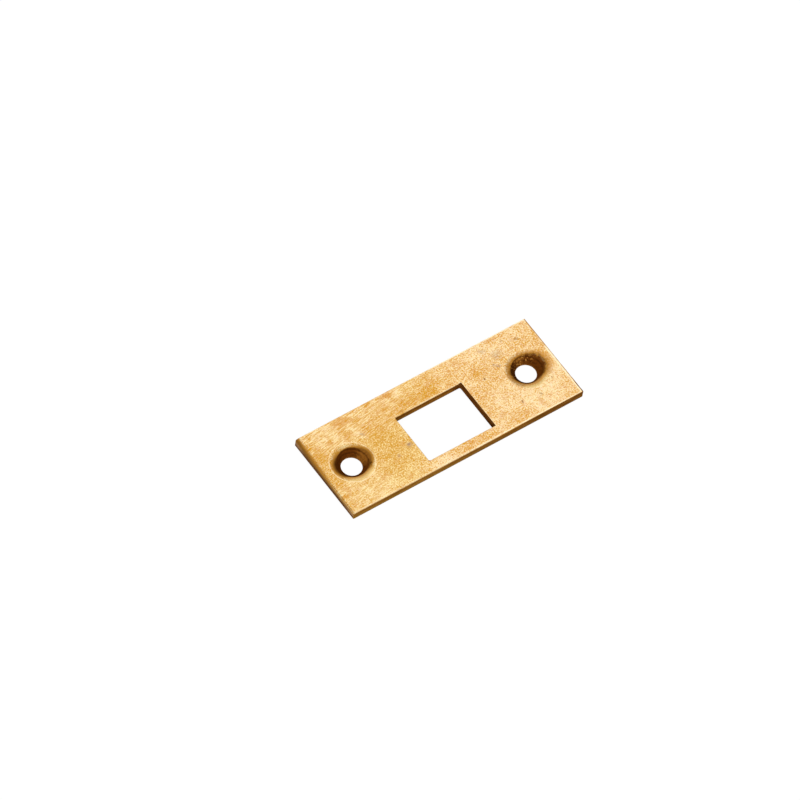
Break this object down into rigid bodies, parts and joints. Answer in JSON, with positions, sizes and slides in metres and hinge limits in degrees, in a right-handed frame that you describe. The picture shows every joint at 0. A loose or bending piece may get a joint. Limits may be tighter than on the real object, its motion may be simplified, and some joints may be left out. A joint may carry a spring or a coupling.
{
  "type": "door strike plate",
  "caption": "Flat rectangular aged-brass strike plate with an offset rectangular bolt cut-out and countersunk screw holes near its ends.",
  "frame": {"origin": "centre of the back face's outline, the face that lies on the door jamb", "axes": "+X along the length, +Y from the edge that the cut-out is nearest to towards the other long edge, +Z out of the visible face"},
  "size_m": [0.0602, 0.022, 0.0019],
  "materials": {
    "aged_brass": "worn satin brass with mottled tan patina and dark brown edges and recesses"
  },
  "bodies": {
    "root": {"strike_plate": "aged_brass"}
  },
  "joints": []
}
